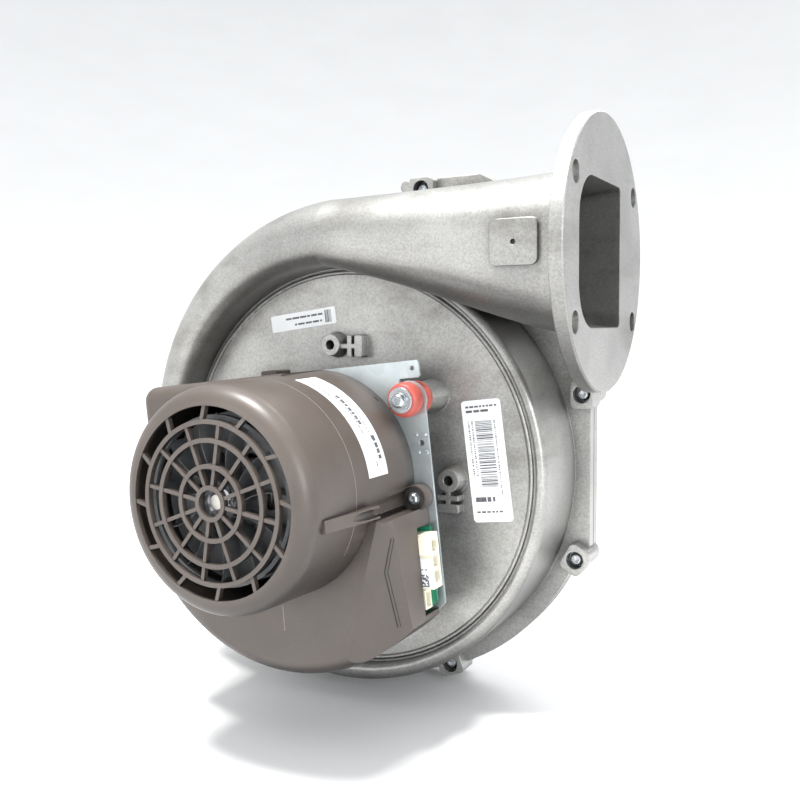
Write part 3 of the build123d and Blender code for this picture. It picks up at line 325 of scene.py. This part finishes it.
# dark and light colour, scale of the patches, range of roughness,
# then, where they differ from the usual, how metallic it is and the grain's scale and depth
MOTTLED = {
    "label_white": ((0.76, 0.78, 0.80), (0.86, 0.87, 0.88), 30.0, (0.3, 0.45), 0.0, 700.0, 0.03),
    "zinc_screws": ((0.42, 0.44, 0.46), (0.50, 0.52, 0.54), 120.0, (0.2, 0.36), 0.95, 1600.0),
    "sheet_aluminium": ((0.56, 0.56, 0.57), (0.72, 0.72, 0.73), 45.0, (0.24, 0.38), 0.92),
    "spring_steel": ((0.20, 0.20, 0.22), (0.38, 0.38, 0.40), 200.0, (0.25, 0.4), 0.95),
    "black_anodised": ((0.30, 0.31, 0.32), (0.42, 0.43, 0.44), 90.0, (0.3, 0.45), 0.9),
    "tinned_pins": ((0.60, 0.59, 0.56), (0.76, 0.75, 0.72), 300.0, (0.15, 0.3), 1.0),
    "magnet_ferrite": ((0.05, 0.05, 0.055), (0.10, 0.10, 0.105), 150.0, (0.4, 0.6)),
    "choke_core": ((0.06, 0.065, 0.07), (0.11, 0.115, 0.12), 200.0, (0.4, 0.6)),
    "gasket_fibre": ((0.05, 0.055, 0.05), (0.11, 0.115, 0.11), 300.0, (0.7, 0.9)),
    "seal_felt": ((0.035, 0.035, 0.035), (0.08, 0.08, 0.078), 500.0, (0.8, 0.95)),
    "insulator_plastic": ((0.68, 0.66, 0.60), (0.80, 0.78, 0.71), 60.0, (0.35, 0.5)),
    # fan_plastic is darker than the blades' own grey: painted shade for the dark inside of the cover
    "fan_plastic": ((0.075, 0.078, 0.082), (0.125, 0.128, 0.132), 50.0, (0.3, 0.45)),
    "cage_plastic": ((0.05, 0.075, 0.11), (0.09, 0.12, 0.17), 150.0, (0.35, 0.5)),
    "standoff_nylon": ((0.70, 0.70, 0.66), (0.82, 0.82, 0.78), 90.0, (0.35, 0.5)),
    "capacitor_sleeve": ((0.02, 0.022, 0.03), (0.05, 0.052, 0.06), 80.0, (0.2, 0.3)),
    "component_black": ((0.015, 0.015, 0.016), (0.04, 0.04, 0.04), 220.0, (0.4, 0.55)),
    "connector_cream": ((0.72, 0.68, 0.54), (0.84, 0.80, 0.67), 90.0, (0.35, 0.48)),
    "bush_rubber": ((0.012, 0.012, 0.012), (0.04, 0.038, 0.036), 200.0, (0.5, 0.7)),
}
looks = {slot: make().material for slot, make in MAKERS.items()}
looks.update({slot: turned(slot, *values).material for slot, values in TURNED.items()})
looks.update({slot: mottled(slot, *values).material for slot, values in MOTTLED.items()})
ink = mottled("label_ink", (0.07, 0.07, 0.08), (0.15, 0.15, 0.16), 400.0, (0.5, 0.7)).material

for part in frame["record"]["subparts"]:
    piece = nodes[part["node"]]
    piece.data.materials.clear()
    piece.data.materials.append(looks[part["material_slot"]])


# ---- mesh helpers ----------------------------------------------------------
SHARP_EDGE = math.radians(38.0)


def soften(node, width_mm):
    """Small rounds on a CAD node's sharp edges, by modifiers alone."""
    piece = nodes[node]
    weld = piece.modifiers.new("weld", "WELD")
    weld.merge_threshold = 1e-6
    bevel = piece.modifiers.new("edges", "BEVEL")
    bevel.width = width_mm * MM
    bevel.segments = 2
    bevel.limit_method = "ANGLE"
    bevel.angle_limit = SHARP_EDGE
    bevel.use_clamp_overlap = True
    bevel.harden_normals = True


def solids_of(node):
    """Low and high corner of each separate solid in a CAD node."""
    mesh = bmesh.new()
    mesh.from_mesh(nodes[node].data)
    bmesh.ops.remove_doubles(mesh, verts=mesh.verts, dist=1e-6)
    left = set(mesh.verts)
    boxes = []
    while left:
        group = [left.pop()]
        for vert in group:
            for edge in vert.link_edges:
                other = edge.other_vert(vert)
                if other in left:
                    left.remove(other)
                    group.append(other)
        low = Vector(min(v.co[i] for v in group) for i in range(3))
        high = Vector(max(v.co[i] for v in group) for i in range(3))
        boxes.append((low, high))
    mesh.free()
    return sorted(boxes, key=lambda box: tuple(box[0]))


def finish_piece(name, mesh, body, slot=None, material=None, smooth=True):
    """Turns a bmesh into an object that rides on a body, with a slot's material or one of its own."""
    bmesh.ops.recalc_face_normals(mesh, faces=mesh.faces)
    data = bpy.data.meshes.new(name)
    mesh.to_mesh(data)
    mesh.free()
    for face in data.polygons:
        face.use_smooth = smooth
    piece = bpy.data.objects.new(name, data)
    bpy.context.scene.collection.objects.link(piece)
    data.materials.append(material or looks[slot])
    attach(piece, body)
    return piece


def split_sharp(piece, degrees):
    """Keeps edges above an angle crisp on a smooth-shaded piece."""
    sharp = piece.modifiers.new("sharp", "EDGE_SPLIT")
    sharp.split_angle = math.radians(degrees)


def ring_points(radius, height, count, lobes=0, depth=0.0):
    """A closed ring about local Z. With lobes it is a star-shaped drive outline."""
    points = []
    for i in range(count):
        angle = 2 * math.pi * i / count
        r = radius * (1.0 + depth * math.cos(lobes * angle))
        points.append(Vector((r * math.cos(angle), r * math.sin(angle), height)))
    return points


def loft_rings(mesh, rings, place, closed_ends=True):
    """Joins rings of points into a skin; each end gets a face, or else the last ring meets the first."""
    rows = [[mesh.verts.new(place @ point) for point in ring] for ring in rings]
    count = len(rows[0])
    for lower, upper in zip(rows, rows[1:]):
        for i in range(count):
            j = (i + 1) % count
            mesh.faces.new((lower[i], lower[j], upper[j], upper[i]))
    if closed_ends:
        mesh.faces.new(rows[0])
        mesh.faces.new(rows[-1])
    else:
        for i in range(count):
            j = (i + 1) % count
            mesh.faces.new((rows[-1][i], rows[-1][j], rows[0][j], rows[0][i]))


def facing_front(centre):
    """A frame whose local Z points to the front (-Y), at a place in the shared frame."""
    return Matrix.Translation(centre) @ Matrix.Rotation(math.pi / 2, 4, "X")


def rounded_profile(inner, outer, back, front, r):
    """(radius, height) pairs of a ring's section with corners rounded to radius r, once round."""
    steps = 4
    corners = (
        (outer - r, back + r, -90.0),
        (outer - r, front - r, 0.0),
        (inner + r, front - r, 90.0),
        (inner + r, back + r, 180.0),
    )
    profile = []
    for x, y, start in corners:
        for i in range(steps + 1):
            angle = math.radians(start + 90.0 * i / steps)
            profile.append((x + r * math.cos(angle), y + r * math.sin(angle)))
    return profile


def add_ring(mesh, place, profile):
    """One ring, from its section."""
    loft_rings(mesh, [ring_points(r, h, 64) for r, h in profile], place, closed_ends=False)


# ---- screws, washers and grommets ------------------------------------------
def screw_profile(shank, length, flange, flange_height, head, head_height, drive, drive_depth):
    """Rings of one screw from its tip to the bottom of its star drive; local Z is out of the head."""
    count = 48
    rings = [
        ring_points(shank * 0.7, -length, count),
        ring_points(shank, -length + shank * 0.5, count),
        ring_points(shank, 0.0, count),
        ring_points(flange * 0.98, 0.0, count),
        ring_points(flange, flange_height * 0.4, count),
        ring_points(flange * 0.97, flange_height, count),
        ring_points(head * 1.02, flange_height * 1.05, count),
        ring_points(head, flange_height * 1.2, count),
    ]
    steps = 6
    crown = 75.0
    shoulder = flange_height * 1.2
    for i in range(1, steps + 1):
        angle = math.radians(crown * i / steps)
        radius = head * (0.45 + 0.55 * math.cos(angle))
        height = shoulder + (head_height - shoulder) * math.sin(angle) / math.sin(math.radians(crown))
        rings.append(ring_points(max(radius, drive * 1.2), height, count))
    rings.append(ring_points(drive, head_height, count, lobes=6, depth=0.13))
    rings.append(ring_points(drive * 0.97, head_height - drive_depth * 0.2, count, lobes=6, depth=0.13))
    rings.append(ring_points(drive * 0.93, head_height - drive_depth, count, lobes=6, depth=0.13))
    rings.append(ring_points(drive * 0.2, head_height - drive_depth * 1.15, count))
    return rings


DRIVE_DEPTH = 1.5


def detailed_screws(node, shank, flange, flange_height, head, head_height, drive):
    """Replaces a CAD node of screws by turned ones with a flange, a crowned head and a star drive."""
    mesh = bmesh.new()
    for low, high in solids_of(node):
        centre = (low + high) / 2
        seat = low.y + head_height * MM
        place = facing_front(Vector((centre.x, seat, centre.z)))
        rings = screw_profile(
            shank * MM,
            high.y - seat,
            flange * MM,
            flange_height * MM,
            head * MM,
            head_height * MM,
            drive * MM,
            DRIVE_DEPTH * MM,
        )
        loft_rings(mesh, rings, place)
    piece = finish_piece(f"{node}_turned", mesh, "housing", "zinc_screws")
    split_sharp(piece, 42.0)
    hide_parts(node)


# radii and heights in millimetres
detailed_screws("carrier_screws", 2.47, 4.6, 1.0, 3.9, 3.8, 1.9)
detailed_screws("cover_screw", 1.7, 3.3, 0.7, 2.9, 2.6, 1.5)
detailed_screws("housing_screws", 2.47, 4.6, 0.9, 3.9, 3.6, 1.9)
detailed_screws("motor_bolts", 1.95, 3.5, 0.6, 3.2, 2.6, 1.6)


def replaced_rings(node, name, slot, section):
    """Replaces a CAD node of rings; section draws one from its outer radius and half its length."""
    mesh = bmesh.new()
    for low, high in solids_of(node):
        outer = (high.x - low.x) / 2
        half = (high.y - low.y) / 2
        add_ring(mesh, facing_front((low + high) / 2), section(outer, half))
    piece = finish_piece(name, mesh, "housing", slot)
    split_sharp(piece, 50.0)
    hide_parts(node)


def washer_section(outer, half):
    """A stamped washer with slightly rounded edges."""
    return rounded_profile(2.7 * MM, outer, -half, half, 0.35 * MM)


def grommet_section(outer, half):
    """Two round-rimmed flanges with the carrier's groove between them."""
    bore, neck, groove, rim = 4.03 * MM, 6.0 * MM, 0.75 * MM, 2.2 * MM

    def flange(start, end):
        middle = (start + end) / 2
        reach = (end - start) / 2
        turns = [math.radians(-90.0 + 180.0 * i / 8) for i in range(9)]
        return [(outer - rim + rim * math.cos(turn), middle + reach * math.sin(turn)) for turn in turns]

    back = [(bore, -half), (outer - rim, -half), *flange(-half, -groove), (neck, -groove)]
    front = [(neck, groove), *flange(groove, half), (bore, half)]
    return back + front


replaced_rings("carrier_washers", "carrier_washers_stamped", "zinc_screws", washer_section)
replaced_rings("rubber_grommets", "rubber_grommets_moulded", "red_silicone", grommet_section)

# ---- soft edges on the CAD pieces ------------------------------------------
soften("motor_cover", 0.45)
soften("motor_carrier", 0.25)
soften("cooling_fan", 0.25)
soften("mains_connector", 0.3)
soften("signal_connector", 0.2)
soften("front_shield", 0.5)
soften("rear_shield", 0.5)
soften("power_modules", 0.4)
soften("impeller_hub", 0.5)


# ---- prints on the labels --------------------------------------------------
def words(source, left, right, low, height, longest=4.0):
    """One line of generic grey text, as word-long bars."""
    bars = []
    start = left
    while start < right - 1.0:
        end = min(right, start + source.uniform(1.2, longest))
        bars.append((start, low, end, low + height))
        start = end + source.uniform(0.5, 0.9)
    return bars


def stripes(source, left, right, low, high, along_v=True):
    """Upright or lying stripes of uneven width, as on a code that can't be read."""
    bars = []
    start = low if along_v else left
    end = high if along_v else right
    while start < end:
        width = source.choice((0.25, 0.4, 0.7))
        stop = min(start + width, end)
        bars.append((left, start, right, stop) if along_v else (start, low, stop, high))
        start = stop + source.choice((0.3, 0.45, 0.8))
    return bars


def flat_label(node, turn_degrees):
    """Maps metres on a flat label, from its centre, to the shared frame, just proud of its front."""
    low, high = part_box(node)
    centre = (low + high) / 2
    turn = math.radians(turn_degrees)
    front = low.y - 0.04 * MM

    def to_frame(u, v):
        return Vector((
            centre.x + u * math.cos(turn) - v * math.sin(turn),
            front,
            centre.z + u * math.sin(turn) + v * math.cos(turn),
        ))

    return to_frame


def print_on(name, bars, to_frame):
    """Ink bars as a film: each is (left, low, right, high) in a label's own millimetres."""
    mesh = bmesh.new()
    for left, low, right, high in bars:
        corners = ((left, low), (right, low), (right, high), (left, high))
        mesh.faces.new([mesh.verts.new(to_frame(u * MM, v * MM)) for u, v in corners])
    piece = finish_piece(name, mesh, "housing", material=ink, smooth=False)
    thick = piece.modifiers.new("film", "SOLIDIFY")
    thick.thickness = 0.03 * MM
    thick.offset = 0.0


draw = random.Random(7)
rating = []
rating += words(draw, -9.0, 9.0, 29.0, 1.0, 3.0)
rating += words(draw, -9.0, 4.0, 26.4, 1.3, 5.0)
for column in (-8.6, -6.6):
    rating += stripes(draw, column, column + 0.9, -8.0, 22.0)
rating += stripes(draw, -4.4, 5.2, -14.0, 22.0)
rating += stripes(draw, 6.4, 7.2, -20.0, 22.0)
rating += words(draw, -9.0, 3.0, -22.0, 2.6, 8.0)
rating += words(draw, -9.0, 6.0, -28.0, 1.0, 3.0)
print_on("rating_print", rating, flat_label("rating_label", 6.9))

maker = []
maker += words(draw, -12.0, 14.0, 1.2, 1.1, 5.0)
maker += words(draw, -6.0, 13.0, -2.6, 1.1, 5.0)
maker += stripes(draw, 15.4, 19.6, -3.6, 3.6, along_v=False)
print_on("maker_print", maker, flat_label("maker_label", 7.2))

module = 0.7
code = []
for row in range(9):
    for column in range(9):
        if row == 0 or column == 0 or draw.random() < 0.5:
            left = -3.2 + column * module
            low = -7.0 + row * module
            code.append((left, low, left + module, low + module))
code += words(draw, -1.0, 3.0, 1.5, 0.6, 2.0)
print_on("connector_print", code, flat_label("connector_label", 6.0))


def barrel_print():
    """Generic lines on the curved label of the cover's barrel."""
    low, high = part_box("cover_label")
    back, front = high.y, low.y
    source = nodes["cover_label"].data.vertices
    radius_back = max(math.hypot(v.co.x, v.co.z) for v in source if v.co.y > back - 0.5 * MM)
    radius_front = max(math.hypot(v.co.x, v.co.z) for v in source if v.co.y < front + 0.5 * MM)
    upper_end = math.radians(76.0)

    def to_frame(u, v):
        """u runs round the barrel from the label's upper end, v from its back edge to the front."""
        share = v / (back - front)
        radius = radius_back + (radius_front - radius_back) * share + 0.04 * MM
        angle = upper_end - u / radius
        return Vector((radius * math.cos(angle), back - v, radius * math.sin(angle)))

    bars = []
    # where each line of print starts and ends, its place across the label and its height, in mm
    for first, last, line, height in (
        (3.0, 20.0, 13.0, 1.0),
        (18.0, 45.0, 10.6, 0.8),
        (20.0, 40.0, 7.6, 2.4),
        (22.0, 50.0, 5.4, 0.7),
        (47.0, 60.0, 3.0, 2.6),
        (60.0, 64.0, 8.0, 0.8),
    ):
        for left, low_edge, right, high_edge in words(draw, first, last, line, height, 3.0):
            cuts = max(1, int((right - left) / 0.8))
            for i in range(cuts):
                a = left + (right - left) * i / cuts
                b = left + (right - left) * (i + 1) / cuts
                bars.append((a, low_edge, b, high_edge))
    print_on("barrel_print", bars, to_frame)


barrel_print()

# ---- moulding seams and painted groove shadows on the motor cover ----------
cover_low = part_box("motor_cover")[0]
cover_mesh = nodes["motor_cover"].data
cover_points = [vert.co for vert in cover_mesh.vertices]
cover_skin = BVHTree.FromPolygons(cover_points, [face.vertices for face in cover_mesh.polygons])
seam = mottled("mould_seam", (0.20, 0.17, 0.15), (0.27, 0.24, 0.215), 300.0, (0.35, 0.5)).material
# groove: near-black painted shadow for grooves and a slit that the cover's mesh does not have
groove = mottled("painted_groove_shadow", (0.008, 0.007, 0.006), (0.02, 0.018, 0.016), 300.0, (0.5, 0.7)).material


BARREL_RADIUS = 56.0
SEAM_DEPTH = 39.0          # all depths run back from the cover's front, in mm
LOBE_DEPTH = 52.0
SLIT_DEPTH = 90.5


def on_cover(across, depth, up):
    """A place in the motor's own turned frame, given in mm."""
    return Vector((
        (across * math.cos(MOTOR_TURN) - up * math.sin(MOTOR_TURN)) * MM,
        cover_low.y + depth * MM,
        (across * math.sin(MOTOR_TURN) + up * math.cos(MOTOR_TURN)) * MM,
    ))


def mark(name, corners, width_mm, material, steps=10):
    """A thin band that follows the corners along the cover's skin."""
    path = [a.lerp(b, i / steps) for a, b in zip(corners, corners[1:]) for i in range(steps)]
    path.append(corners[-1])
    mesh = bmesh.new()
    rows = []
    for i, point in enumerate(path):
        spot, normal = cover_skin.find_nearest(point)[:2]
        along = path[min(i + 1, len(path) - 1)] - path[max(i - 1, 0)]
        side = along.cross(normal).normalized() * width_mm * MM / 2
        lift = normal * 0.05 * MM
        rows.append((mesh.verts.new(spot - side + lift), mesh.verts.new(spot + side + lift)))
    for lower, upper in zip(rows, rows[1:]):
        mesh.faces.new((lower[0], lower[1], upper[1], upper[0]))
    piece = finish_piece(name, mesh, "housing", material=material)
    thick = piece.modifiers.new("ridge", "SOLIDIFY")
    thick.thickness = 0.06 * MM
    thick.offset = 0.0


def moulding_marks():
    """The mould's seam round the barrel and down the lobe, and two bent grooves and a slit as dark bands of
    painted shadow.
    """
    turns = [math.radians(angle) for angle in range(-36, 136, 4)]
    spots = [(BARREL_RADIUS * math.cos(turn), BARREL_RADIUS * math.sin(turn)) for turn in turns]
    ring = [on_cover(across, SEAM_DEPTH, up) for across, up in spots]
    mark("mark_seam_barrel", ring, 0.4, seam, steps=1)
    lobe_seam = [on_cover(-3.6, LOBE_DEPTH, -61.5), on_cover(-4.0, LOBE_DEPTH, -75.0)]
    mark("mark_seam_lobe", lobe_seam, 0.5, seam)
    # the two bent grooves are near-black bands of painted shadow lying on the surface, not cut into it
    for shift, width in ((0.0, 0.6), (1.7, 0.4)):
        bend = [
            on_cover(62.3 + shift, 55.9, -28.0),
            on_cover(56.5 + shift, 56.1, -45.0),
            on_cover(57.6 + shift, 61.7, -73.6),
        ]
        mark(f"painted_rib_groove_shadow_{width:.1f}", bend, width, groove)
    # the slit is a near-black band of painted shadow on the surface, not an opening
    slit = [on_cover(40.4, SLIT_DEPTH, 39.4), on_cover(43.4, SLIT_DEPTH, 37.8)]
    mark("painted_slit_shadow", slit, 1.3, groove)


moulding_marks()

# ---- studio and camera -----------------------------------------------------
centre = (cad_low + cad_high) / 2


def studio_bowl():
    """A round pale floor that rises slowly towards its rim, so no horizon shows."""
    flat, reach, height = 0.8, 5.0, 2.4
    steps = 24
    profile = [(0.001, 0.0), (flat * 0.5, 0.0), (flat, 0.0)]
    for i in range(1, steps + 1):
        share = i / steps
        profile.append((flat + reach * share, height * share**2))
    mesh = bmesh.new()
    place = Matrix.Translation(Vector((centre.x, centre.y, cad_low.z - 0.0002)))
    count = 96
    rows = [[mesh.verts.new(place @ p) for p in ring_points(r, h, count)] for r, h in profile]
    for lower, upper in zip(rows, rows[1:]):
        for i in range(count):
            j = (i + 1) % count
            mesh.faces.new((lower[i], lower[j], upper[j], upper[i]))
    mesh.faces.new(rows[0])
    bmesh.ops.recalc_face_normals(mesh, faces=mesh.faces)
    data = bpy.data.meshes.new("floor")
    mesh.to_mesh(data)
    mesh.free()
    for face in data.polygons:
        face.use_smooth = True
    floor = bpy.data.objects.new("floor", data)
    bpy.context.scene.collection.objects.link(floor)
    paint = mottled("floor_paint", (0.90, 0.90, 0.90), (0.93, 0.93, 0.93), 3.0, (0.7, 0.8), strength=0.0)
    data.materials.append(paint.material)


studio_bowl()


def soft_box(name, place, size, power, tint=(1.0, 1.0, 1.0)):
    """An area light that points at the middle of the fan."""
    light = bpy.data.lights.new(name, "AREA")
    light.shape = "DISK"
    light.size = size
    light.energy = power
    light.color = tint
    lamp = bpy.data.objects.new(name, light)
    lamp.location = centre + Vector(place)
    lamp.rotation_mode = "QUATERNION"
    lamp.rotation_quaternion = (centre - lamp.location).to_track_quat("-Z", "Y")
    bpy.context.scene.collection.objects.link(lamp)


soft_box("key", (-0.12, -0.40, 1.28), 0.35, 33.0, (1.0, 0.985, 0.96))
soft_box("front", (-0.8, -1.5, 0.1), 0.9, 2.2, (1.0, 0.99, 0.97))
soft_box("duct", (1.1, -0.85, 0.3), 0.6, 7.5, (0.95, 0.98, 1.0))
soft_box("rim", (0.2, 1.0, 1.1), 0.9, 8.0)


def sky():
    """Soft daylight, bright overhead and weaker towards the horizon."""
    world = bpy.data.worlds.new("studio")
    world.use_nodes = True
    tree = world.node_tree
    direction = tree.nodes.new("ShaderNodeTexCoord").outputs["Generated"]
    height = tree.nodes.new("ShaderNodeSeparateXYZ")
    tree.links.new(direction, height.inputs["Vector"])
    fade = tree.nodes.new("ShaderNodeMapRange")
    fade.inputs["From Min"].default_value = 0.3
    fade.inputs["From Max"].default_value = 0.9
    fade.inputs["To Min"].default_value = 0.25
    fade.inputs["To Max"].default_value = 1.5
    tree.links.new(height.outputs["Z"], fade.inputs["Value"])
    background = tree.nodes["Background"]
    background.inputs["Color"].default_value = (0.96, 0.98, 1.0, 1.0)
    tree.links.new(fade.outputs["Result"], background.inputs["Strength"])
    bpy.context.scene.world = world


sky()
bpy.context.scene.view_settings.view_transform = "Standard"

CAMERA_PLACE = (0.27623, -0.53683, 0.08136)
CAMERA_AZIMUTH = math.radians(28.13)
CAMERA_ELEVATION = math.radians(4.63)
CAMERA_ROLL = math.radians(-0.59)
camera_data = bpy.data.cameras.new("camera")
camera_data.sensor_width = 36.0
camera_data.lens = 41.44
camera = bpy.data.objects.new("camera", camera_data)
camera.location = CAMERA_PLACE
back = Vector((
    math.sin(CAMERA_AZIMUTH) * math.cos(CAMERA_ELEVATION),
    -math.cos(CAMERA_AZIMUTH) * math.cos(CAMERA_ELEVATION),
    math.sin(CAMERA_ELEVATION),
))
camera.rotation_mode = "QUATERNION"
camera.rotation_quaternion = (-back).to_track_quat("-Z", "Y") @ Quaternion((0.0, 0.0, 1.0), CAMERA_ROLL)
bpy.context.scene.collection.objects.link(camera)
bpy.context.scene.camera = camera
